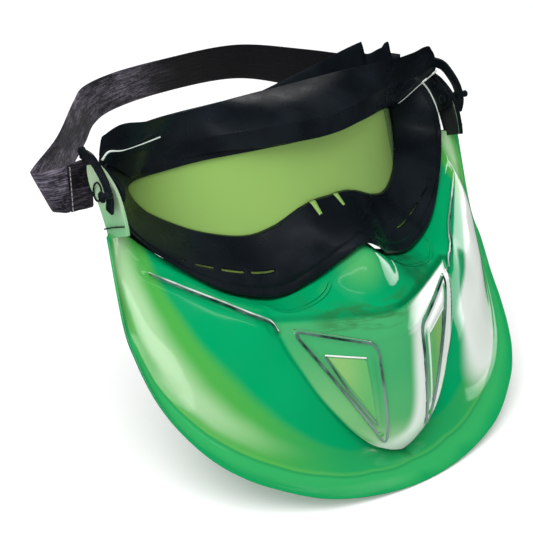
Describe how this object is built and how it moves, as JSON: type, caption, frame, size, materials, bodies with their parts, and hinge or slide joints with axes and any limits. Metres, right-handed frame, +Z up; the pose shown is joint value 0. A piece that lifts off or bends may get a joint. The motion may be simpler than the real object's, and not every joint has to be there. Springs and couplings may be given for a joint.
{
  "type": "safety goggle with face shield",
  "caption": "Sealed safety goggle with a tinted lens, a tinted shield hung below it over nose, mouth and chin, and an elastic headband on pivoting clips.",
  "frame": {"origin": "middle of the face seat: on the centre line, at the height between the eyes, in the plane where the flange's side edges meet the temples", "axes": "+X to the right seen from in front (the wearer's left), +Y backwards into the wearer's face, +Z up"},
  "size_m": [0.2238, 0.2219, 0.159],
  "materials": {
    "goggle_black": "satin moulded",
    "flange_rubber": "matt",
    "lens_green": "polished, tinted",
    "shield_green": "polished, tinted, clear",
    "ear_green": "polished, lightly tinted",
    "webbing": "woven elastic"
  },
  "bodies": {
    "goggle": {"goggle_frame": "goggle_black", "face_flange": "flange_rubber", "lens": "lens_green", "brow_cover": "goggle_black", "vent_baffle_left": "goggle_black", "vent_baffle_right": "goggle_black", "outrigger_left": "goggle_black", "outrigger_right": "goggle_black", "headband_pin_left": "goggle_black", "headband_pin_right": "goggle_black"},
    "shield": {"face_shield": "shield_green", "shield_ear_left": "ear_green", "shield_ear_right": "ear_green", "breath_window_left": "shield_green", "breath_window_right": "shield_green"},
    "headband": {"strap_webbing": "webbing", "strap_clip_left": "goggle_black", "strap_clip_right": "goggle_black", "strap_end_left": "webbing", "strap_end_right": "webbing"},
    "adjuster": {"strap_adjuster": "goggle_black"}
  },
  "joints": [
    {"name": "shield_swing", "type": "hinge", "parent": "goggle", "child": "shield", "pos_m": [0, -0.02, 0.009], "axis": [1, 0, 0], "range_deg": [0, 5]},
    {"name": "headband_swing", "type": "hinge", "parent": "goggle", "child": "headband", "pos_m": [0, -0.02, 0.009], "axis": [1, 0, 0], "range_deg": [-5, 12]},
    {"name": "adjuster_slide", "type": "slide", "parent": "headband", "child": "adjuster", "axis": [-0.5239, 0.8518, 0], "range_m": [-0.002, 0.004]}
  ]
}
